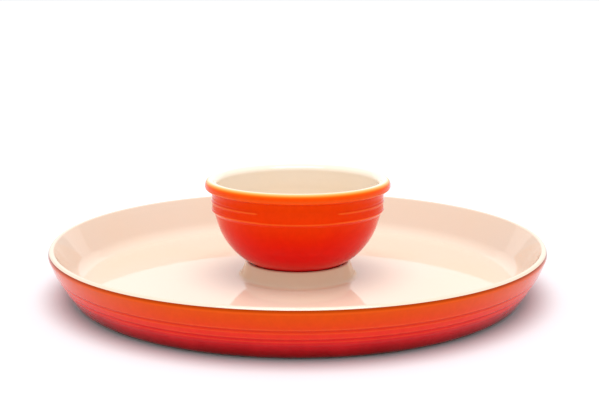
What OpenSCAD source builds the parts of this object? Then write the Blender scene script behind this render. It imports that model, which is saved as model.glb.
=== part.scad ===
// Chip and dip server in glazed stoneware: a round platter with a raised pedestal in the
// middle of its chip well, and a ribbed dip bowl that stands loose on that pedestal.
// Millimetres, +Z up, origin at the centre of the platter's resting face, front towards -Y.
// Sizes are finished sizes, over the glaze, and heights are above the table.

/* [Platter] */
// Diameter over the rim's shoulder
platter_d = 332; // [324:1:346]
// Height of the rim
platter_h = 34.2; // [33:0.1:37]
// Slope of the side wall from the horizontal, in degrees
wall_slope = 62.3; // [60:0.1:68]
// Thickness of the side wall
wall_t = 5; // [4.4:0.1:5.6]
// How far the side wall swells outwards halfway up
wall_bulge = 0.8; // [0:0.1:1.2]
// How far the rim's rounded shoulder stands out from its crest
rim_out = 2.7; // [2.2:0.1:3.2]
// How far the shoulder drops from the crest to the platter's widest line
rim_drop = 3; // [2.4:0.1:3.6]
// Height of the chip well's floor
floor_h = 8; // [7:0.1:9]
// Radius between the chip well's floor and its wall
well_round = 14; // [8:0.5:18]
// Radius of the outer lower corner
corner_round = 8; // [6:0.5:8]
// Width of the unglazed foot ring
foot_w = 6; // [4:0.5:8]
// Depth of the recess inside the foot ring
recess_h = 2.5; // [2:0.1:3]

/* [Side wall grooves] */
// Height of the top groove
groove_top_h = 19.8; // [19:0.1:21]
// Distance from the top groove down to the middle one
groove_gap_1 = 5.9; // [5:0.1:6.2]
// Distance from the middle groove down to the low one
groove_gap_2 = 4.5; // [4:0.1:4.8]
// Height of one groove from edge to edge
groove_w = 2.8; // [2:0.1:3]
// Depth of one groove
groove_depth = 0.6; // [0.2:0.1:1]
// How far the wall steps in below each groove
step_in = 0.4; // [0:0.1:0.6]

/* [Pedestal] */
// Height of the pedestal's crest
crest_h = 18.5; // [18.3:0.1:18.7]
// Radius of the crest's outer edge before it is rounded
crest_r = 35.5; // [35.3:0.1:36]
// Radius at the pedestal's base
base_r = 39.4; // [38:0.1:42]
// Height of the seat that the bowl stands on
seat_h = 14.5; // [14.3:0.1:14.7]
// Radius of the flat seat
seat_r = 30.5; // [30.2:0.1:30.8]
// Height of the hollow under the seat
hollow_h = 9; // [6:0.1:10]

/* [Dip bowl] */
// Diameter over the lip
bowl_d = 125.2; // [124.4:0.1:129]
// Height of the lip when the bowl stands on its seat
bowl_top_h = 75.2; // [75:0.1:80]
// Radius of the belly's curve
belly_round = 45; // [44.6:0.1:45]
// Thickness of the bowl's wall at the belly
bowl_wall = 4.6; // [4:0.1:5]
// Radius of the foot
bowl_foot_r = 29; // [28:0.1:29.4]
// Width of the foot ring
bowl_foot_w = 4.4; // [3:0.1:5]
// Thickness of the bowl's bottom
bowl_floor_t = 5.3; // [4.5:0.1:7]
// Angle that the plain panel at the front takes up, in degrees
panel_angle = 52; // [20:1:90]

/* [Glaze] */
// Thickness of each coat of glaze
glaze_t = 0.4; // [0.2:0.05:0.5]

/* [Hidden] */
$fn = 144;

clay = "#c9b79c";
cream = "#f5e6d3";
orange = "#e0451f";
red = "#a81a1c";

// ---- Outline tools. An outline is a list of [radius, height] points that runs outwards over
// the top, down the outside and back to the axis underneath, so the clay is on its right.

function unit(v) = v / norm(v);
function right_of(v) = unit([v.y, -v.x]);
function last(list) = list[len(list) - 1];
function slice(list, from, to) = [for (i = [from:to]) list[i]];
function backwards(list) = [for (i = [len(list) - 1:-1:0]) list[i]];

// Points of an arc, or of an ellipse when r is [half width, half height].
function arc(centre, r, from, to, steps) =
    let (half = is_list(r) ? r : [r, r])
    [for (i = [0:steps])
        let (a = from + (to - from) * i / steps)
        centre + [half.x * cos(a), half.y * sin(a)]];

// An arc of radius r in place of corner b, tangent to the runs towards a and towards c.
function fillet(a, b, c, r, steps) =
    let (
        u = unit(a - b),
        v = unit(c - b),
        half = acos(u * v) / 2,
        centre = b + unit(u + v) * r / sin(half),
        start = b + u * r / tan(half) - centre,
        end = b + v * r / tan(half) - centre,
        from = atan2(start.y, start.x),
        turn = (atan2(end.y, end.x) - from + 540) % 360 - 180
    )
    arc(centre, r, from, from + turn, steps);

// An outline from corners [radius, height, rounding]; the first and last stay sharp.
function rounded(corners, steps = 4) =
    let (p = [for (c = corners) [c[0], c[1]]], end = len(corners) - 1)
    [for (i = [0:end])
        each i == 0 || i == end || corners[i][2] == 0
            ? [p[i]]
            : fillet(p[i - 1], p[i], p[i + 1], corners[i][2], steps)];

// An outline moved into the clay by t, each run staying parallel to itself.
function inset(p, t) =
    let (end = len(p) - 1)
    [for (i = [0:end])
        let (
            before = right_of(p[max(i, 1)] - p[max(i, 1) - 1]),
            after = right_of(p[min(i, end - 1) + 1] - p[min(i, end - 1)]),
            middle = unit(before + after)
        )
        p[i] + middle * t / (middle * before)];

// The coat of glaze on an outline's points from one index to another.
function coat(outline, from, to) =
    concat(
        slice(outline, from, to),
        backwards(slice(inset(outline, glaze_t), from, to))
    );

// ---- Platter outline

rim_steps = 9;
rim_cream_steps = 4;
rim_centre = [platter_d / 2 - rim_out, platter_h - rim_drop];

// The outer wall runs from the rim's shoulder to the lower corner. Its swell makes it steeper
// than its straight line at the top and flatter at the bottom.
chord = 1 / tan(wall_slope);
swell = 4 * wall_bulge / (platter_h - rim_drop);
rim_end = -atan((chord - swell) * rim_drop / rim_out);
corner_start = -atan(chord + swell);
wall_top = rim_centre + [rim_out * cos(rim_end), rim_drop * sin(rim_end)];
wall_low_h = corner_round * (1 + sin(corner_start));
function wall_r(z) = wall_top.x + (z - wall_top.y) * chord;
// The inner wall runs parallel to that straight line.
function well_r(z) = wall_r(z) - wall_t / sin(wall_slope);

foot_out_r = wall_r(wall_low_h) - corner_round * cos(corner_start);
foot_in_r = foot_out_r - foot_w;
groove_hs = [groove_top_h, groove_top_h - groove_gap_1, groove_top_h - groove_gap_1 - groove_gap_2];
// The low groove is hardly more than a step.
groove_depths = [groove_depth, groove_depth, groove_depth / 3];

// The outer wall's face at height z with k steps passed: each band leans out a little, so that
// the steps bring it back to the same line at the bottom.
function down(z) = (wall_top.y - z) / (wall_top.y - wall_low_h);
function wall_face(z, k) =
    let (bulge = 4 * wall_bulge * down(z) * (1 - down(z)))
    [wall_r(z) + bulge + step_in * (len(groove_hs) * down(z) - k), z];

// One groove, from its upper edge (s = 1) to its lower edge (s = -1).
function wall_groove(k) =
    [for (i = [0:6])
        let (s = 1 - i / 3, z = groove_hs[k] + s * groove_w / 2)
        wall_face(z, k + (1 - s) / 2) - [groove_depths[k] * pow(cos(90 * s), 2), 0]];

// From the axis over the seat, the crest, the well and the rim to the start of the wall.
crest_in = [crest_r - 1.8, crest_h];
pedestal_and_well = rounded([
    [0, seat_h, 0],
    [seat_r, seat_h, 1.5],
    [crest_in.x, crest_h, 1],
    [crest_r, crest_h, 1.5],
    [base_r, floor_h, 3],
    [well_r(floor_h), floor_h, well_round],
    [well_r(platter_h), platter_h, 0],
], 5);
crest_flat = 0.1;
rim_round = (rim_centre.x - crest_flat - well_r(platter_h)) / tan(wall_slope / 2);
inner_rim = fillet(
    [well_r(floor_h), floor_h], [well_r(platter_h), platter_h], [platter_d, platter_h], rim_round, 5
);
outer_rim = arc(rim_centre, [rim_out, rim_drop], 90, rim_end, rim_steps);
upper_band_steps = 5;
upper_band = [for (i = [1:upper_band_steps - 1])
    let (z = wall_top.y + (groove_top_h + groove_w / 2 - wall_top.y) * i / upper_band_steps)
    wall_face(z, 0)];
glaze_edge_angle = -70;
lower_corner = arc(
    [foot_out_r, corner_round], corner_round, corner_start, glaze_edge_angle, 5
);
platter_top = concat(
    slice(pedestal_and_well, 0, len(pedestal_and_well) - 2),
    inner_rim,
    outer_rim,
    upper_band,
    wall_groove(0),
    wall_groove(1),
    wall_groove(2),
    lower_corner
);
// The cream coat reaches over the rim and ends partway down its shoulder.
cream_end = len(pedestal_and_well) - 1 + len(inner_rim) + rim_cream_steps;

foot_edge = 0.4;
platter_foot = concat(
    arc([foot_out_r, corner_round], corner_round, glaze_edge_angle, -90, 3),
    [[foot_in_r, 0], [foot_in_r - foot_edge, foot_edge], [foot_in_r - foot_edge, recess_h / 2]]
);
platter_under = rounded([
    [foot_in_r - foot_edge, recess_h / 2, 0],
    [foot_in_r - foot_edge, recess_h, 0.8],
    [seat_r + 0.5, recess_h, 1.5],
    [seat_r - 1.5, hollow_h, 2],
    [0, hollow_h, 0],
]);

// ---- Dip bowl outline

lip_h = 4.4;
lip_under = 2.6;
lip_out = 3.1;
lip_in = 5.4;
lip_centre = [bowl_d / 2 - lip_out, bowl_top_h - lip_h];
band_r = bowl_d / 2 - 4.6;
bowl_foot_h = seat_h;
bowl_floor_h = bowl_foot_h + 1.7 + bowl_floor_t;

belly_centre = [band_r - belly_round - 1.8, bowl_top_h - 17.4];
belly_end = -acos((bowl_foot_r - belly_centre.x) / belly_round);
inside_round = belly_round - bowl_wall + 1.6;
inside_centre = belly_centre + [0, 2.2];
inside_start = belly_end + 9;
inside_foot = inside_centre + inside_round * [cos(inside_start), sin(inside_start)];

// The inside, from the axis up to the crest of the lip.
bowl_inside = concat(
    slice(rounded([
        [0, bowl_floor_h, 0],
        [inside_foot.x - (inside_foot.y - bowl_floor_h) / tan(90 + inside_start), bowl_floor_h, 14],
        [inside_foot.x, inside_foot.y, 0],
    ]), 0, 5),
    arc(inside_centre, inside_round, inside_start, 0, 10),
    arc(lip_centre, [lip_in, lip_h], 180, 105, 5)
);
lip_over_steps = 8;
lip_under_steps = 4;
lip_cream_steps = 2;
bowl_lip = concat(
    arc(lip_centre, [lip_out, lip_h], 90, 0, lip_over_steps),
    slice(arc(lip_centre, [lip_out, lip_under], 0, -60, lip_under_steps), 1, lip_under_steps)
);

// The band under the lip, two thin ribs around it, and the ledge below: each corner is [inwards
// from the band, down from the lip's crest, rounding]. The plain panel has no ribs.
band = [[-0.2, 7.6, 0.7], [0, 12.2, 0.4]];
ribs = [[0, 12.9, 0.5], [-0.5, 14.2, 0.9], [0.1, 15.7, 0.6], [0.1, 18.9, 0.5], [-0.4, 20.2, 0.7]];
plain_band = [[0, 20.5, 0.7]];
ledge = [[1.5, 22.4, 0.8]];

// The panel's zone, down from the lip's crest and to each side of the band's radius.
panel_high = 12.5;
panel_low = 23.5;
panel_depth = 3.5;

function bowl_side(face) =
    let (
        belly = arc(belly_centre, belly_round, -13.5, belly_end, 12),
        corners = [for (c = concat(band, face, ledge)) [band_r - c[0], bowl_top_h - c[1], c[2]]]
    )
    concat(
        slice(bowl_lip, 0, len(bowl_lip) - 2),
        rounded(concat([concat(last(bowl_lip), 0)], corners, [concat(belly[0], 0)]), 3),
        slice(belly, 1, len(belly) - 1),
        [[bowl_foot_r, bowl_foot_h + 0.9]]
    );

ribbed = concat(bowl_inside, bowl_side(ribs));
plain = concat(bowl_inside, bowl_side(plain_band));
bowl_cream_end = len(bowl_inside) + lip_cream_steps;

bowl_foot_in = bowl_foot_r - bowl_foot_w;
bowl_foot = [
    [bowl_foot_r, bowl_foot_h + 0.9],
    [bowl_foot_r, bowl_foot_h + foot_edge],
    [bowl_foot_r - foot_edge, bowl_foot_h],
    [bowl_foot_in + foot_edge, bowl_foot_h],
    [bowl_foot_in, bowl_foot_h + foot_edge],
    [bowl_foot_in, bowl_foot_h + 0.9],
];
bowl_under = rounded([
    [bowl_foot_in, bowl_foot_h + 0.9, 0],
    [bowl_foot_in, bowl_foot_h + 1.7, 0.4],
    [0, bowl_foot_h + 1.7, 0],
]);

// ---- Nodes

module turned(outline) {
    rotate_extrude() polygon(outline);
}

// An outline turned only as far as the front panel reaches.
module turned_panel() {
    rotate([0, 0, -panel_angle / 2 - 90]) rotate_extrude(angle = panel_angle) children();
}

// The heights between which the panel's outline differs from the rest.
module panel_zone() {
    translate([band_r - panel_depth, bowl_top_h - panel_low])
        square([2 * panel_depth, panel_low - panel_high]);
}

// A round piece with one outline on the front panel and another on the rest.
module turned_with_panel(outline, panel) {
    difference() {
        turned(outline);
        turned_panel() panel_zone();
    }
    turned_panel() intersection() {
        polygon(panel);
        panel_zone();
    }
}

function fired(top, foot, under) = concat(inset(top, glaze_t), foot, inset(under, glaze_t));

// Unglazed stoneware under the platter's coats, bare on the foot ring.
module platter_body() {
    color(clay) turned(fired(platter_top, platter_foot, platter_under));
}

// Cream glaze on the seat, the pedestal, the well and the rim.
module platter_inner_glaze() {
    color(cream) turned(coat(platter_top, 0, cream_end));
}

// Orange to red glaze on the outer wall.
module platter_outer_glaze() {
    color(red) turned(coat(platter_top, cream_end, len(platter_top) - 1));
}

// Glaze inside the foot ring and in the pedestal's hollow.
module platter_underside_glaze() {
    color(red) turned(coat(platter_under, 0, len(platter_under) - 1));
}

// Unglazed stoneware under the bowl's coats, bare on its foot ring.
module bowl_body() {
    color(clay) turned_with_panel(
        fired(ribbed, bowl_foot, bowl_under), fired(plain, bowl_foot, bowl_under)
    );
}

// Cream glaze inside the bowl and over its lip.
module bowl_inner_glaze() {
    color(cream) turned(coat(ribbed, 0, bowl_cream_end));
}

// Orange glaze from the lip's outer shoulder to the foot.
module bowl_outer_glaze() {
    color(orange) turned_with_panel(
        coat(ribbed, bowl_cream_end, len(ribbed) - 1), coat(plain, bowl_cream_end, len(plain) - 1)
    );
}

// Glaze under the bowl, inside its foot ring.
module bowl_foot_glaze() {
    color(orange) turned(coat(bowl_under, 0, len(bowl_under) - 1));
}

platter_body();
platter_inner_glaze();
platter_outer_glaze();
platter_underside_glaze();
bowl_body();
bowl_inner_glaze();
bowl_outer_glaze();
bowl_foot_glaze();
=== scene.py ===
"""Chip and dip server in glazed stoneware: the looks of the platter and of the dip bowl.

Every piece is turned about the Z axis from an outline of (radius, height) points in millimetres,
which runs outwards over the top, down the outside and back to the axis underneath.
"""

import math

import bpy
import numpy as np
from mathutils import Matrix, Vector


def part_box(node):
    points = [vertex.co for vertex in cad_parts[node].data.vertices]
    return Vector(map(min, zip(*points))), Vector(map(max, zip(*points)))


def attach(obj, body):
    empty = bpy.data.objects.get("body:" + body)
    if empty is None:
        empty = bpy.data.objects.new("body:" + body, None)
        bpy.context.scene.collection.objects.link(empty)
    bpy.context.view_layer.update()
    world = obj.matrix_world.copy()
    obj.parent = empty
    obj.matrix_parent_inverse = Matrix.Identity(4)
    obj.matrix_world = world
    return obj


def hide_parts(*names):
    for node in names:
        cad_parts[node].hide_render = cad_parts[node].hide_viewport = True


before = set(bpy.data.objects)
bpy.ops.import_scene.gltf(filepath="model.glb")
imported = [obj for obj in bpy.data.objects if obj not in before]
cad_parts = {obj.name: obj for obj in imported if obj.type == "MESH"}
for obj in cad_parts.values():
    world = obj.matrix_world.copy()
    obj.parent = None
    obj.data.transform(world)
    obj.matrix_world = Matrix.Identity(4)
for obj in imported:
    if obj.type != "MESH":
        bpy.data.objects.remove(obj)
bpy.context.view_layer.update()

MM = 0.001
SEGMENTS = 360
GLAZE_T = 0.4
FAR_FROM_EDGE = 100.0
POOL_REACH = 0.7
AXIS_R = 1e-6
SHARP_ANGLE = math.radians(40)


def size_mm(node, corner, axis):
    """One coordinate of a CAD node's box, in millimetres: corner 0 is the lowest and 1 the highest."""
    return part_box(node)[corner][axis] / MM


# ---- Outline tools


def arc(centre, half, start, end, steps):
    """Points of an arc, or of an ellipse when half is (half width, half height)."""
    half = np.broadcast_to(half, 2)
    a = np.radians(np.linspace(start, end, steps + 1))
    return np.array(centre) + np.stack([half[0] * np.cos(a), half[1] * np.sin(a)], axis=1)


def fillet(a, b, c, radius, steps):
    """An arc in place of corner b, tangent to the runs towards a and towards c."""
    a, b, c = (np.array(p, float) for p in (a, b, c))
    u, v = (a - b) / np.linalg.norm(a - b), (c - b) / np.linalg.norm(c - b)
    half = math.acos(float(u @ v)) / 2
    centre = b + (u + v) / np.linalg.norm(u + v) * radius / math.sin(half)
    start, end = (b + w * radius / math.tan(half) - centre for w in (u, v))
    first, last = (math.degrees(math.atan2(p[1], p[0])) for p in (start, end))
    turn = (last - first + 540) % 360 - 180
    return arc(centre, radius, first, first + turn, steps)


def rounded(corners, steps=10):
    """An outline from corners (radius, height, rounding); the first and last stay sharp."""
    parts = [np.array([corners[0][:2]], float)]
    for before, corner, after in zip(corners, corners[1:], corners[2:]):
        if corner[2]:
            parts.append(fillet(before[:2], corner[:2], after[:2], corner[2], steps))
        else:
            parts.append(np.array([corner[:2]], float))
    parts.append(np.array([corners[-1][:2]], float))
    return np.concatenate(parts)


def refined(outline, pitch):
    """The same outline with its straight runs cut into steps no longer than pitch."""
    points = [outline[:1]]
    for a, b in zip(outline, outline[1:]):
        steps = max(1, math.ceil(np.linalg.norm(b - a) / pitch))
        points.append(a + (b - a) * np.linspace(0, 1, steps + 1)[1:, None])
    return np.concatenate(points)


def run_normals(outline):
    """Each point's direction into the clay, lengthened where the outline turns."""
    runs = np.diff(outline, axis=0)
    runs = runs / np.linalg.norm(runs, axis=1, keepdims=True)
    right = np.stack([runs[:, 1], -runs[:, 0]], axis=1)
    before = np.concatenate([right[:1], right])
    after = np.concatenate([right, right[-1:]])
    middle = before + after
    middle = middle / np.linalg.norm(middle, axis=1, keepdims=True)
    return middle / np.sum(middle * before, axis=1, keepdims=True)


def inset(outline, depth=GLAZE_T):
    return outline + run_normals(outline) * depth


def along(outline):
    """Distance along the outline to each of its points."""
    return np.concatenate([[0], np.cumsum(np.linalg.norm(np.diff(outline, axis=0), axis=1))])


def hollowness(outline):
    """How hollow the outline is at each point, per millimetre: glaze pools there and thins on edges,
    and the outside glaze's colour uses it for painted shade in hollows and painted highlights on edges.
    """
    s = along(outline)
    directions = np.unwrap(np.arctan2(*np.diff(outline, axis=0).T[::-1]))
    middles = (s[1:] + s[:-1]) / 2
    ahead = np.interp(s + POOL_REACH, middles, directions)
    behind = np.interp(s - POOL_REACH, middles, directions)
    return (ahead - behind) / (2 * POOL_REACH)


def smooth(t):
    """An even rise from 0 to 1, level at both ends."""
    t = np.clip(t, 0, 1)
    return t * t * (3 - 2 * t)


def waves(height, stops):
    """A smooth value through (height, value) stops, level at each of them."""
    stops = sorted(stops)
    value = np.full_like(height, stops[0][1], dtype=float)
    for (h0, v0), (h1, v1) in zip(stops, stops[1:]):
        value = np.where(height >= h0, v0 + (v1 - v0) * smooth((height - h0) / (h1 - h0)), value)
    return value


# ---- Turned meshes


def turned(name, outline, wobble, panel=None, fields=None):
    """A closed mesh turned from a closed outline. On the front panel it follows the outline given
    as panel instead, with soft ends. fields maps an attribute's name to its value at each point,
    or to a pair of values, for the outline and for the panel."""
    angles = np.arange(SEGMENTS) * 2 * math.pi / SEGMENTS
    share = np.ones(SEGMENTS) if panel is None else panel_share(angles)
    other = outline if panel is None else panel
    points = share[:, None, None] * outline + (1 - share)[:, None, None] * other
    radius, height = points[..., 0], points[..., 1]
    turn = np.broadcast_to(angles[:, None], radius.shape)
    radius, height = wobble(radius, height, turn)
    on_axis = outline[:, 0] < AXIS_R
    count = len(outline)
    columns = np.arange(count)
    index = np.arange(SEGMENTS)[:, None] * count + columns
    index[:, on_axis] = columns[on_axis]
    xyz = np.stack([radius * np.cos(turn), radius * np.sin(turn), height], axis=-1).reshape(-1, 3)
    used, renumbered = np.unique(index, return_inverse=True)
    index = renumbered.reshape(SEGMENTS, count)
    faces = []
    for here, there in zip(index, np.roll(index, -1, axis=0)):
        for i in range(count):
            k = (i + 1) % count
            corners = [here[i], here[k], there[k], there[i]]
            ring = [c for n, c in enumerate(corners) if c != corners[n - 1]]
            if len(ring) > 2:
                faces.append(ring)
    mesh = bpy.data.meshes.new(name)
    mesh.from_pydata((xyz[used] * MM).tolist(), [], faces)
    mesh.polygons.foreach_set("use_smooth", [True] * len(mesh.polygons))
    mesh.set_sharp_from_angle(angle=SHARP_ANGLE)
    for field, values in (fields or {}).items():
        first, second = values if isinstance(values, tuple) else (values, values)
        spread = share[:, None] * first + (1 - share)[:, None] * second
        data = mesh.attributes.new(field, "FLOAT", "POINT").data
        data.foreach_set("value", spread.reshape(-1)[used].astype(np.float32))
    piece = bpy.data.objects.new(name, mesh)
    bpy.context.scene.collection.objects.link(piece)
    return piece


def coat(name, outline, first, last, wobble, panel=None, edge=None):
    """A coat of glaze on an outline's points from one index to another, as a closed shell. edge is
    the point where it meets a coat of another colour, if it blends into that coat."""

    def shell(line):
        return np.concatenate([line[first : last + 1], inset(line)[first : last + 1][::-1]])

    def doubled(values):
        kept = values[first : last + 1]
        return np.concatenate([kept, kept[::-1]])

    beyond = np.full(len(outline), FAR_FROM_EDGE)
    distance = beyond if edge is None else np.abs(along(outline) - along(outline)[edge])
    fields = {"edge": doubled(distance)}
    hollow_field = doubled(hollowness(outline))
    fields["hollow_field"] = hollow_field if panel is None else (hollow_field, doubled(hollowness(panel)))
    return turned(name, shell(outline), wobble, None if panel is None else shell(panel), fields)


def finish_piece(piece, body, node, material):
    piece.data.materials.append(material)
    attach(piece, body)
    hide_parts(node)


# ---- Platter outline: the sizes that the CAD holds come from its boxes

RIM_R = size_mm("platter_outer_glaze", 1, 0)
RIM_H = size_mm("platter_inner_glaze", 1, 2)
RIM_OUT = 2.7
RIM_DROP = 3
RIM_CENTRE = np.array((RIM_R - RIM_OUT, RIM_H - RIM_DROP))
WALL_T = 5
WALL_SLOPE = math.radians(62.3)
WALL_BULGE = 0.8
WELL_H = size_mm("platter_inner_glaze", 0, 2) + GLAZE_T
WELL_ROUND = 14
CORNER_ROUND = 8
FOOT_W = 6
RECESS_H = 2.5
HOLLOW_H = size_mm("platter_underside_glaze", 1, 2) - GLAZE_T
GROOVES = ((19.8, 0.6), (13.9, 0.6), (9.4, 0.2))
GROOVE_W = 2.8
STEP_IN = 0.4
SEAT_H = size_mm("bowl_body", 0, 2)
SEAT_R = 30.5
SEAT_ROUND = 1.5
CREST_H = 18.5
CREST_R = 35.5
CREST_W = 1.8
PEDESTAL_R = 39.4
PEDESTAL_ROUND = 3
RECESS_ROUND = 0.8
HOLLOW_ROUND = 2
GLAZE_EDGE_ANGLE = -70
FOOT_EDGE = 0.4
CREST_FLAT = 0.1
WALL_STEPS = 109
CORNER_STEPS = 16
FOOT_STEPS = 6
PITCH = 6
RIM_STEPS = 27
RIM_CREAM_STEPS = 12

# The wall swells a little: it is steeper than its straight line at the top and flatter at the bottom.
CHORD = 1 / math.tan(WALL_SLOPE)
SWELL = 4 * WALL_BULGE / (RIM_H - RIM_DROP)
RIM_END = -math.atan((CHORD - SWELL) * RIM_DROP / RIM_OUT)
CORNER_START = -math.atan(CHORD + SWELL)
WALL_TOP = RIM_CENTRE + (RIM_OUT * math.cos(RIM_END), RIM_DROP * math.sin(RIM_END))
WALL_LOW_H = CORNER_ROUND * (1 + math.sin(CORNER_START))


def wall_r(height):
    """Radius of the outer wall's straight line."""
    return WALL_TOP[0] + (height - WALL_TOP[1]) * CHORD


def well_r(height):
    return wall_r(height) - WALL_T / math.sin(WALL_SLOPE)


def outer_wall():
    """The wall from the rim to the lower corner: a swell, three grooves, and a step in below each."""
    height = np.linspace(WALL_TOP[1], WALL_LOW_H, WALL_STEPS + 1)
    down = (WALL_TOP[1] - height) / (WALL_TOP[1] - WALL_LOW_H)
    radius = wall_r(height) + 4 * WALL_BULGE * down * (1 - down) + STEP_IN * len(GROOVES) * down
    for groove, depth in GROOVES:
        s = np.clip((height - groove) / (GROOVE_W / 2), -1, 1)
        radius -= STEP_IN * (1 - s) / 2 + depth * np.cos(np.pi / 2 * s) ** 2
    return np.stack([radius, height], axis=1)


def platter_outline():
    """The outline from the seat's centre to the glaze's lower edge, the point where the cream coat
    ends, and the radius of the foot's outer edge."""
    rim_round = (RIM_CENTRE[0] - CREST_FLAT - well_r(RIM_H)) / math.tan(WALL_SLOPE / 2)
    inside = rounded([
        (0, SEAT_H, 0),
        (SEAT_R, SEAT_H, SEAT_ROUND),
        (CREST_R - CREST_W, CREST_H, 1),
        (CREST_R, CREST_H, 1.5),
        (PEDESTAL_R, WELL_H, PEDESTAL_ROUND),
        (well_r(WELL_H), WELL_H, WELL_ROUND),
        (well_r(RIM_H), RIM_H, rim_round),
        (RIM_R, RIM_H, 0),
    ], steps=12)[:-1]
    rim = arc(RIM_CENTRE, (RIM_OUT, RIM_DROP), 90, math.degrees(RIM_END), RIM_STEPS)
    corner_r = wall_r(WALL_LOW_H) - CORNER_ROUND * math.cos(CORNER_START)
    corner_at = (corner_r, CORNER_ROUND)
    corner = arc(corner_at, CORNER_ROUND, math.degrees(CORNER_START), GLAZE_EDGE_ANGLE, CORNER_STEPS)
    inside = refined(inside, PITCH)
    outline = np.concatenate([inside, rim, outer_wall()[1:-1], corner])
    return outline, len(inside) + RIM_CREAM_STEPS, corner_r


def platter_wobble(radius, height, turn):
    """The small unevenness of a piece that was pressed and fired: a tenth of a millimetre or two."""
    out = radius / RIM_R
    up = smooth(height / RIM_H)
    radius = radius + out * (0.12 * np.sin(2 * turn + 0.6) + 0.06 * np.sin(5 * turn + 2.1))
    height = height + out * up * (0.14 * np.sin(2 * turn + 2.4) + 0.07 * np.sin(3 * turn + 0.3))
    return radius, height


# ---- Dip bowl outline

LIP_R = size_mm("bowl_outer_glaze", 1, 0)
LIP_TOP_H = size_mm("bowl_inner_glaze", 1, 2)
LIP_H = 4.4
LIP_UNDER = 2.6
LIP_OUT = 3.1
LIP_IN = 5.4
LIP_CENTRE = (LIP_R - LIP_OUT, LIP_TOP_H - LIP_H)
LIP_END = -60
BAND_IN = 4.6
BAND_R = LIP_R - BAND_IN
BELLY_ROUND = 45
BELLY_IN = 1.8
BELLY_DOWN = 17.4
BELLY_CENTRE = (BAND_R - BELLY_ROUND - BELLY_IN, LIP_TOP_H - BELLY_DOWN)
BOWL_WALL = 4.6
BOWL_FLOOR_T = 5.3
BOWL_FLOOR_ROUND = 14
BOWL_FOOT_R = 29
BOWL_FOOT_W = 4.4
BASE_RISE = 1.7
BASE_H = SEAT_H + BASE_RISE
BASE_ROUND = 0.4
BARE_RISE = 0.9
BARE_H = SEAT_H + BARE_RISE
BOWL_FLOOR_H = BASE_H + BOWL_FLOOR_T
BELLY_START = -13.5
BELLY_END = -math.degrees(math.acos((BOWL_FOOT_R - BELLY_CENTRE[0]) / BELLY_ROUND))
# The inside is an arc of its own, set a little higher, so the wall thickens towards the foot.
INSIDE_WIDER = 1.6
INSIDE_RISE = 2.2
INSIDE_LATER = 9
INSIDE_ROUND = BELLY_ROUND - BOWL_WALL + INSIDE_WIDER
INSIDE_CENTRE = (BELLY_CENTRE[0], BELLY_CENTRE[1] + INSIDE_RISE)
INSIDE_START = BELLY_END + INSIDE_LATER
# Corners of the band and of the ledge below it: (outwards from the band, down from the lip's
# crest, rounding).
BAND = [(0.2, 7.6, 0.7), (0, 12.2, 0.4)]
LEDGE = [(0, 20.5, 0.7), (-1.5, 22.4, 0.8)]
# The ribs, and the plain panel without them: (down from the lip's crest, inwards) stops.
RIBS = [(12.7, 0), (14.2, -0.44), (15.8, 0.1), (18.8, 0.1), (20.2, -0.35), (21.2, 0)]
PLAIN = [(12.7, 0), (21.2, 0)]
SIDE_PITCH = 0.22
FOOT_PITCH = 0.3
BOWL_PITCH = 3
LIP_CREAM_POINTS = 7
PANEL_ANGLE = 52
PANEL_FADE = 4
FRONT = 270


def panel_share(angles):
    """1 where the ribs run and 0 on the plain front panel, with soft ends."""
    off = np.abs((np.degrees(angles) - FRONT + 180) % 360 - 180)
    return smooth((off - PANEL_ANGLE / 2) / PANEL_FADE + 0.5)


def bowl_side(ribs):
    """The outside from the lip's crest to the foot."""
    over = arc(LIP_CENTRE, (LIP_OUT, LIP_H), 90, 0, steps=28)
    under = arc(LIP_CENTRE, (LIP_OUT, LIP_UNDER), 0, LIP_END, steps=16)
    lip = np.concatenate([over, under[1:]])
    belly = arc(BELLY_CENTRE, BELLY_ROUND, BELLY_START, BELLY_END, steps=60)
    face = [(BAND_R + out, LIP_TOP_H - down, rounding) for out, down, rounding in BAND + LEDGE]
    side = refined(rounded([(*lip[-1], 0), *face, (*belly[0], 0)], steps=8), SIDE_PITCH)
    side[:, 0] -= waves(LIP_TOP_H - side[:, 1], ribs)
    foot = refined(np.array([belly[-1], (BOWL_FOOT_R, BARE_H)]), FOOT_PITCH)
    return np.concatenate([lip[:-1], side, belly[1:], foot[1:]])


def bowl_outline(ribs):
    """The outline from the middle of the bowl's floor over the lip to the glaze's lower edge, and
    the point where the lip's crest is."""
    wall = arc(INSIDE_CENTRE, INSIDE_ROUND, INSIDE_START, 0, steps=40)
    toe = wall[0][0] - (wall[0][1] - BOWL_FLOOR_H) / math.tan(math.radians(90 + INSIDE_START))
    floor = rounded([(0, BOWL_FLOOR_H, 0), (toe, BOWL_FLOOR_H, BOWL_FLOOR_ROUND), (*wall[0], 0)])[:-1]
    lip = arc(LIP_CENTRE, (LIP_IN, LIP_H), 180, 90, steps=30)
    inside = refined(np.concatenate([floor, wall, lip[:-1]]), BOWL_PITCH)
    return np.concatenate([inside, bowl_side(ribs)]), len(inside)


def bowl_wobble(radius, height, turn):
    """The bowl's own unevenness, which grows from the foot up."""
    up = smooth((height - SEAT_H) / (LIP_TOP_H - SEAT_H))
    radius = radius + up * (0.13 * np.sin(2 * turn + 1.1) + 0.05 * np.sin(3 * turn + 2.6))
    height = height + up * 0.08 * np.sin(2 * turn + 0.4)
    return radius, height


# ---- Colours


def rgb(red, green, blue):
    """A linear colour from one in sRGB, 0 to 255."""
    parts = (red / 255, green / 255, blue / 255)
    return tuple(((v + 0.055) / 1.055) ** 2.4 if v > 0.04 else v / 12.92 for v in parts)


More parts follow.
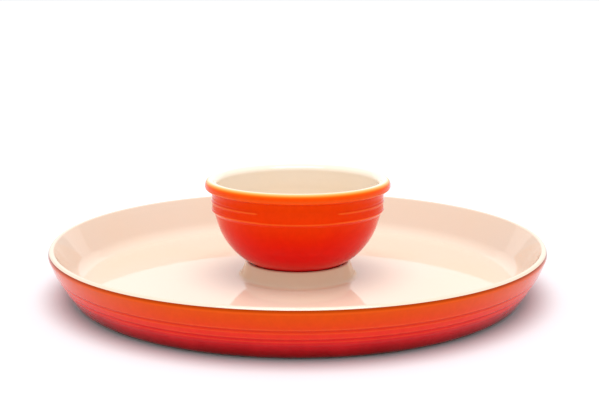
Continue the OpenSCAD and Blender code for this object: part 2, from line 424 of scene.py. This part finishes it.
CREAM = rgb(229, 208, 189)
CREAM_WARM = rgb(230, 207, 185)
# A lighter copy of the same cream for the bowl's inside: painted light, as if more light fell into the
# bowl.
LIT_BOWL_CREAM = rgb(240, 226, 208)
LIT_BOWL_CREAM_WARM = rgb(241, 225, 204)
# Painted shade and orange bounce light for the cream around the pedestal, under the bowl.
CREAM_PAINTED_BOUNCE = rgb(222, 190, 156)
CREAM_POOL = rgb(228, 207, 182)
CREAM_STAIN = rgb(244, 200, 140)
SPECK = rgb(120, 84, 56)
# Dark red for the hollows: partly the glaze pooling there, partly painted shade in the grooves.
POOL_AND_SHADE_RED = rgb(184, 16, 3)
CLAY = rgb(205, 186, 158)
CLAY_DARK = rgb(176, 152, 121)
# Light orange for convex edges: partly the glaze thinning there, partly a painted highlight on the
# ribs.
THIN_EDGE_AND_HIGHLIGHT_ORANGE = rgb(255, 116, 44)

# Colours by height, from the foot up, and the heights where they begin and end.
BOWL_SPAN = (15, 73)
WALL_SPAN = (0, 34)
BOWL_STOPS = [
    (0, rgb(214, 8, 10)),
    (0.3, rgb(224, 12, 8)),
    (0.5, rgb(232, 30, 4)),
    (0.68, rgb(240, 56, 3)),
    (0.85, rgb(242, 60, 3)),
    (1, rgb(244, 80, 2)),
]
# The wall's lowest stops are very dark: partly the glaze's own crimson, partly painted shade where the
# wall turns under towards the table.
WALL_STOPS = [
    (0, rgb(110, 4, 8)),
    (0.1, rgb(150, 10, 16)),
    (0.22, rgb(184, 18, 30)),
    (0.4, rgb(248, 44, 46)),
    (0.6, rgb(236, 64, 26)),
    (0.8, rgb(232, 76, 14)),
    (1, rgb(230, 82, 8)),
]
# Colours by distance from the line where the cream begins.
LIP_FADE = [
    (0, rgb(248, 196, 134)),
    (0.25, rgb(250, 162, 84)),
    (0.45, rgb(250, 134, 46)),
    (0.65, rgb(250, 112, 16)),
    (0.85, rgb(247, 94, 6)),
    (1, rgb(244, 80, 2)),
]
RIM_FADE = [(0, rgb(150, 50, 4)), (0.3, rgb(176, 60, 4)), (1, rgb(218, 78, 8))]


# ---- Materials


class Nodes:
    """A material's node tree, with one short call for each kind of node."""

    def __init__(self, name):
        self.material = bpy.data.materials.new(name)
        self.material.use_nodes = True
        self.tree = self.material.node_tree
        self.shader = next(n for n in self.tree.nodes if n.type == "BSDF_PRINCIPLED")
        self.place = self.add("ShaderNodeTexCoord").outputs["Object"]

    def add(self, kind, settings=None, **inputs):
        made = self.tree.nodes.new(kind)
        for key, value in (settings or {}).items():
            setattr(made, key, value)
        for key, value in inputs.items():
            self.put(made.inputs[key.replace("_", " ")], value)
        return made

    def put(self, socket, value):
        if isinstance(value, bpy.types.NodeSocket):
            self.tree.links.new(value, socket)
        else:
            socket.default_value = value

    def set(self, **inputs):
        for key, value in inputs.items():
            self.put(self.shader.inputs[key.replace("_", " ")], value)

    def noise(self, scale, detail=3, roughness=0.5):
        """Clouds from 0 to 1, with scale of them to the metre."""
        made = self.add("ShaderNodeTexNoise", Vector=self.place, Scale=scale, Detail=detail)
        made.inputs["Roughness"].default_value = roughness
        return made.outputs["Fac"]

    def field(self, name):
        """A value that the mesh holds at each point."""
        return self.add("ShaderNodeAttribute", {"attribute_name": name}).outputs["Fac"]

    def height(self):
        """Height over the piece's own origin, in metres."""
        return self.add("ShaderNodeSeparateXYZ", Vector=self.place).outputs["Z"]

    def radius(self):
        """Distance from the Z axis, in metres."""
        flat = self.add("ShaderNodeVectorMath", {"operation": "MULTIPLY"})
        self.put(flat.inputs[0], self.place)
        self.put(flat.inputs[1], (1, 1, 0))
        length = self.add("ShaderNodeVectorMath", {"operation": "LENGTH"})
        self.put(length.inputs[0], flat.outputs["Vector"])
        return length.outputs["Value"]

    def math(self, operation, a, b, clamp=False):
        made = self.add("ShaderNodeMath", {"operation": operation, "use_clamp": clamp})
        self.put(made.inputs[0], a)
        self.put(made.inputs[1], b)
        return made.outputs[0]

    def scaled(self, value, low, high, to_low=0.0, to_high=1.0):
        """The value's rise from low to high, as a soft rise from to_low to to_high."""
        made = self.add("ShaderNodeMapRange", {"interpolation_type": "SMOOTHSTEP"}, Value=value)
        ends = {"From Min": low, "From Max": high, "To Min": to_low, "To Max": to_high}
        for key, number in ends.items():
            made.inputs[key].default_value = number
        return made.outputs[0]

    def ramp(self, value, stops):
        made = self.add("ShaderNodeValToRGB", Fac=value)
        made.color_ramp.interpolation = "B_SPLINE" if len(stops) > 4 else "LINEAR"
        elements = made.color_ramp.elements
        while len(elements) < len(stops):
            elements.new(0.5)
        for element, (position, colour) in zip(elements, stops):
            element.position = position
            element.color = (*colour, 1)
        return made.outputs["Color"]

    def mix(self, share, a, b):
        """Colour a with a share of colour b."""
        made = self.add("ShaderNodeMix", {"data_type": "RGBA"})
        self.put(made.inputs[0], share)
        self.put(made.inputs[6], a)
        self.put(made.inputs[7], b)
        return made.outputs[2]

    def bump(self, height, distance, strength=1.0, normal=None):
        made = self.add("ShaderNodeBump", Height=height, Distance=distance, Strength=strength)
        if normal:
            self.put(made.inputs["Normal"], normal)
        return made.outputs["Normal"]


CREAM_IOR = 1.5
WALL_IOR = 1.3
BOWL_IOR = 1.24
CLAY_IOR = 1.45
CREAM_TINT = (1, 1, 1)
COLOUR_TINT = (1, 0.35, 0.12)
# How rough each glaze is where it is clear, and where it is dulled.
CREAM_ROUGH = (0.035, 0.07)
COLOUR_ROUGH = (0.05, 0.1)
TABLE_ROUGH = 0.9
# How much of a layer's colour shows through.
# The share of painted shade and bounce light over the cream's middle.
BOUNCE_SHARE = 0.6
STAIN_SHARE = 0.9
CREAM_POOL_SHARE = 0.35
CREAM_SPECK_SHARE = 0.2
CLAY_SPECK_SHARE = 0.6
# The shares of dark red in the hollows: glaze pooling, and painted shade.
WALL_POOL_AND_SHADE_SHARE = 0.65
BOWL_POOL_AND_SHADE_SHARE = 0.15
# The share of light orange on edges: glaze thinning, and painted highlight.
THIN_AND_HIGHLIGHT_SHARE = 0.5
# Painted shade and orange bounce light over the cream's middle, under the bowl, and how far a blend
# reaches from the line where two colours meet.
BOUNCE_R = 40
BOUNCE_END_R = 43
STAIN_REACH = 1.6
RIM_REACH = 2.4
LIP_REACH = 3.4


def glaze_surface(nodes, colour, rough, ior, tint):
    """The glass of a glaze over its colour: nearly mirror smooth, with faint waves and dulled spots."""
    dulled = nodes.noise(scale=90, detail=4, roughness=0.6)
    waves_in_glass = nodes.noise(scale=45, detail=2, roughness=0.4)
    fine = nodes.noise(scale=900, detail=2)
    normal = nodes.bump(waves_in_glass, distance=0.06 * MM, strength=0.5)
    normal = nodes.bump(fine, distance=0.002 * MM, strength=0.6, normal=normal)
    nodes.set(
        Base_Color=colour,
        Roughness=nodes.scaled(dulled, 0.35, 0.75, *rough),
        IOR=ior,
        Specular_Tint=(*tint, 1),
        Normal=normal,
    )
    return nodes.material


def cream_glaze(name, light, warm):
    """The cream of the inside: warmer in soft clouds, with painted shade and orange bounce light over
    the middle, with fine specks, and stained by the colour along the line where they meet."""
    nodes = Nodes(name)
    cloud = nodes.scaled(nodes.noise(scale=14, detail=4, roughness=0.55), 0.35, 0.7)
    colour = nodes.mix(cloud, (*light, 1), (*warm, 1))
    # Painted shade and orange bounce light: the cream darkens and warms within 40 to 43 mm of the axis,
    # around the platter's pedestal and on the bowl's own floor too.
    middle = nodes.scaled(nodes.radius(), BOUNCE_R * MM, BOUNCE_END_R * MM, 1, 0)
    colour = nodes.mix(nodes.math("MULTIPLY", middle, BOUNCE_SHARE), colour, (*CREAM_PAINTED_BOUNCE, 1))
    hollow_field = nodes.scaled(nodes.field("hollow_field"), 0.03, 0.35)
    colour = nodes.mix(nodes.math("MULTIPLY", hollow_field, CREAM_POOL_SHARE), colour, (*CREAM_POOL, 1))
    speck = nodes.scaled(nodes.noise(scale=1300, detail=1, roughness=0.3), 0.79, 0.84)
    colour = nodes.mix(nodes.math("MULTIPLY", speck, CREAM_SPECK_SHARE), colour, (*SPECK, 1))
    stained = nodes.scaled(nodes.field("edge"), 0, STAIN_REACH, STAIN_SHARE, 0)
    colour = nodes.mix(stained, colour, (*CREAM_STAIN, 1))
    return glaze_surface(nodes, colour, CREAM_ROUGH, CREAM_IOR, CREAM_TINT)


def coloured_glaze(name, ior, stops, low, high, edge_stops, edge_reach, pool_and_shade_share):
    """The sprayed glaze of the outside: its colour changes with height from low to high, softly
    and unevenly; it is darker in hollows, where the glaze pools and painted shade lies, and lighter
    on edges, where it thins and a painted highlight lies; and again over the edge's reach, towards
    the line where it meets the cream."""
    nodes = Nodes(name)
    drift = nodes.scaled(nodes.noise(scale=30, roughness=0.6), 0.3, 0.7, -0.03, 0.03)
    height = nodes.math("DIVIDE", nodes.math("SUBTRACT", nodes.height(), low * MM), (high - low) * MM)
    colour = nodes.ramp(nodes.math("ADD", height, drift, clamp=True), stops)
    hollow_field = nodes.scaled(nodes.field("hollow_field"), 0.15, 0.9)
    # Painted shade in the grooves, together with the real pooling of the glaze.
    colour = nodes.mix(nodes.math("MULTIPLY", hollow_field, pool_and_shade_share), colour, (*POOL_AND_SHADE_RED, 1))
    # Painted highlight on the edges, together with the real thinning of the glaze.
    thin_and_highlight = nodes.scaled(nodes.field("hollow_field"), -0.1, -0.6)
    colour = nodes.mix(nodes.math("MULTIPLY", thin_and_highlight, THIN_AND_HIGHLIGHT_SHARE), colour, (*THIN_EDGE_AND_HIGHLIGHT_ORANGE, 1))
    mottle = nodes.scaled(nodes.noise(scale=240, detail=4, roughness=0.65), 0.3, 0.75, 0.97, 1.03)
    colour = nodes.add("ShaderNodeHueSaturation", Color=colour, Value=mottle).outputs["Color"]
    near = nodes.math("DIVIDE", nodes.field("edge"), edge_reach, clamp=True)
    share = nodes.scaled(near, 0.45, 1, 1, 0)
    colour = nodes.mix(share, colour, nodes.ramp(near, edge_stops))
    return glaze_surface(nodes, colour, COLOUR_ROUGH, ior, COLOUR_TINT)


def bare_clay():
    """The unglazed clay of the foot rings: clouded, gritty and dull."""
    nodes = Nodes("bare_clay")
    cloud = nodes.scaled(nodes.noise(scale=60, detail=5, roughness=0.6), 0.3, 0.7)
    colour = nodes.mix(cloud, (*CLAY, 1), (*CLAY_DARK, 1))
    grit = nodes.add("ShaderNodeTexVoronoi", Vector=nodes.place, Scale=1400.0).outputs["Distance"]
    speck = nodes.scaled(grit, 0.12, 0.2, 1, 0)
    colour = nodes.mix(nodes.math("MULTIPLY", speck, CLAY_SPECK_SHARE), colour, (*SPECK, 1))
    grain = nodes.noise(scale=1100, detail=4, roughness=0.7)
    nodes.set(
        Base_Color=colour,
        Roughness=nodes.scaled(nodes.noise(scale=300), 0.3, 0.7, 0.75, 0.95),
        IOR=CLAY_IOR,
        Normal=nodes.bump(grain, distance=0.15 * MM, strength=0.7),
    )
    return nodes.material


# ---- Pieces


def make_platter(cream, red, bare):
    top, cream_end, corner_r = platter_outline()
    foot_in = corner_r - FOOT_W
    foot = np.concatenate([
        arc((corner_r, CORNER_ROUND), CORNER_ROUND, GLAZE_EDGE_ANGLE, -90, FOOT_STEPS),
        [(foot_in, 0), (foot_in - FOOT_EDGE, FOOT_EDGE), (foot_in - FOOT_EDGE, RECESS_H / 2)],
    ])
    under = refined(rounded([
        (foot_in - FOOT_EDGE, RECESS_H / 2, 0),
        (foot_in - FOOT_EDGE, RECESS_H, RECESS_ROUND),
        (SEAT_R + 0.5, RECESS_H, SEAT_ROUND),
        (SEAT_R - 1.5, HOLLOW_H, HOLLOW_ROUND),
        (0, HOLLOW_H, 0),
    ]), PITCH)
    clay = np.concatenate([inset(top), foot, inset(under)])
    body = turned("platter_clay", clay, platter_wobble)
    finish_piece(body, "platter", "platter_body", bare)
    inner = coat("platter_cream_coat", top, 0, cream_end, platter_wobble)
    finish_piece(inner, "platter", "platter_inner_glaze", cream)
    outer = coat("platter_wall_coat", top, cream_end, len(top) - 1, platter_wobble, edge=cream_end)
    finish_piece(outer, "platter", "platter_outer_glaze", red)
    below = coat("platter_underside_coat", under, 0, len(under) - 1, platter_wobble)
    finish_piece(below, "platter", "platter_underside_glaze", red)


def make_bowl(cream, orange, bare):
    ribbed, lip_start = bowl_outline(RIBS)
    plain, _ = bowl_outline(PLAIN)
    cream_end = lip_start + LIP_CREAM_POINTS
    foot_in = BOWL_FOOT_R - BOWL_FOOT_W
    foot = np.array([
        (BOWL_FOOT_R, BARE_H),
        (BOWL_FOOT_R, SEAT_H + FOOT_EDGE),
        (BOWL_FOOT_R - FOOT_EDGE, SEAT_H),
        (foot_in + FOOT_EDGE, SEAT_H),
        (foot_in, SEAT_H + FOOT_EDGE),
        (foot_in, BARE_H),
    ])
    under = rounded([(foot_in, BARE_H, 0), (foot_in, BASE_H, BASE_ROUND), (0, BASE_H, 0)])
    under = refined(under, BOWL_PITCH)
    clay, panel = (np.concatenate([inset(line), foot, inset(under)]) for line in (ribbed, plain))
    body = turned("bowl_clay", clay, bowl_wobble, panel=panel)
    finish_piece(body, "bowl", "bowl_body", bare)
    inner = coat("bowl_cream_coat", ribbed, 0, cream_end, bowl_wobble, edge=cream_end)
    finish_piece(inner, "bowl", "bowl_inner_glaze", cream)
    lower_end = len(ribbed) - 1
    outer = coat("bowl_side_coat", ribbed, cream_end, lower_end, bowl_wobble, plain, cream_end)
    finish_piece(outer, "bowl", "bowl_outer_glaze", orange)
    below = coat("bowl_foot_coat", under, 0, len(under) - 1, bowl_wobble)
    finish_piece(below, "bowl", "bowl_foot_glaze", orange)


# ---- Studio


TABLE_HALF = 400
TABLE_MIDDLE = 1
TABLE_WHITE = (0.74, 0.77, 0.8, 1)
TABLE_PALE = (0.75, 0.78, 0.81, 1)
WORLD_STRENGTH = 0.8
SOFTBOX_POWER = 2.1
SOFTBOX_ANGLE = 44
SOFTBOX_FORWARD = 8
SOFTBOX_PLACE = (0, 0, 1.3)
BACKDROP_SIZE = (3.4, 1.1)
BACKDROP_PLACE = (0, 2.4, 0.85)
BACKDROP_POWER = 5
CAMERA_PLACE = (0, -0.6794, 0.193)
LOOK_DOWN = 11.09
VIEW_WIDTH = 32.78
CAMERA_YAW = 0.13
SENSOR_W = 36
NEAREST = 0.05
FARTHEST = 1000


def make_table():
    """A wide pale table, cut into patches so that its middle stays exact."""
    nodes = Nodes("white_table")
    shade = nodes.scaled(nodes.noise(scale=2.5), 0.3, 0.7)
    nodes.set(Base_Color=nodes.mix(shade, TABLE_WHITE, TABLE_PALE), Roughness=TABLE_ROUGH)
    nodes.shader.inputs["Specular IOR Level"].default_value = 0
    mesh = bpy.data.meshes.new("table")
    lines = (-TABLE_HALF, -TABLE_MIDDLE, TABLE_MIDDLE, TABLE_HALF)
    row = len(lines)
    corners = [(x, y, 0) for y in lines for x in lines]
    starts = [i for i in range(row * (row - 1)) if (i + 1) % row]
    mesh.from_pydata(corners, [], [(i, i + 1, i + row + 1, i + row) for i in starts])
    mesh.materials.append(nodes.material)
    table = bpy.data.objects.new("table", mesh)
    bpy.context.scene.collection.objects.link(table)


def add_light(data, place, tilt):
    light = bpy.data.objects.new(data.name, data)
    light.location = place
    light.rotation_euler = (math.radians(tilt), 0, 0)
    bpy.context.scene.collection.objects.link(light)


def make_lights():
    """An even sky, a wide softbox overhead, and a bright panel far behind for the glaze to mirror."""
    world = bpy.data.worlds.new("studio")
    world.use_nodes = True
    background = world.node_tree.nodes["Background"]
    background.inputs["Color"].default_value = (1, 1, 1, 1)
    background.inputs["Strength"].default_value = WORLD_STRENGTH
    bpy.context.scene.world = world
    softbox = bpy.data.lights.new("overhead_softbox", "SUN")
    softbox.energy = SOFTBOX_POWER
    softbox.angle = math.radians(SOFTBOX_ANGLE)
    add_light(softbox, SOFTBOX_PLACE, SOFTBOX_FORWARD)
    backdrop = bpy.data.lights.new("backdrop_panel", "AREA")
    backdrop.shape = "RECTANGLE"
    backdrop.size, backdrop.size_y = BACKDROP_SIZE
    backdrop.energy = BACKDROP_POWER
    add_light(backdrop, BACKDROP_PLACE, -90)


def make_camera():
    """The camera stands in front and looks a little down, with a long lens."""
    data = bpy.data.cameras.new("camera")
    data.sensor_width = SENSOR_W
    data.lens = SENSOR_W / 2 / math.tan(math.radians(VIEW_WIDTH / 2))
    data.clip_start, data.clip_end = NEAREST, FARTHEST
    camera = bpy.data.objects.new("camera", data)
    camera.location = CAMERA_PLACE
    camera.rotation_euler = (math.radians(90 - LOOK_DOWN), 0, math.radians(-CAMERA_YAW))
    bpy.context.scene.collection.objects.link(camera)
    bpy.context.scene.camera = camera


clay_material = bare_clay()
wall_material = coloured_glaze(
    "wall_glaze", WALL_IOR, WALL_STOPS, *WALL_SPAN, RIM_FADE, RIM_REACH, WALL_POOL_AND_SHADE_SHARE
)
bowl_material = coloured_glaze(
    "bowl_glaze", BOWL_IOR, BOWL_STOPS, *BOWL_SPAN, LIP_FADE, LIP_REACH, BOWL_POOL_AND_SHADE_SHARE
)
make_platter(cream_glaze("cream_glaze", CREAM, CREAM_WARM), wall_material, clay_material)
make_bowl(cream_glaze("bowl_cream_glaze", LIT_BOWL_CREAM, LIT_BOWL_CREAM_WARM), bowl_material, clay_material)
make_table()
make_lights()
make_camera()
bpy.context.scene.view_settings.view_transform = "Standard"
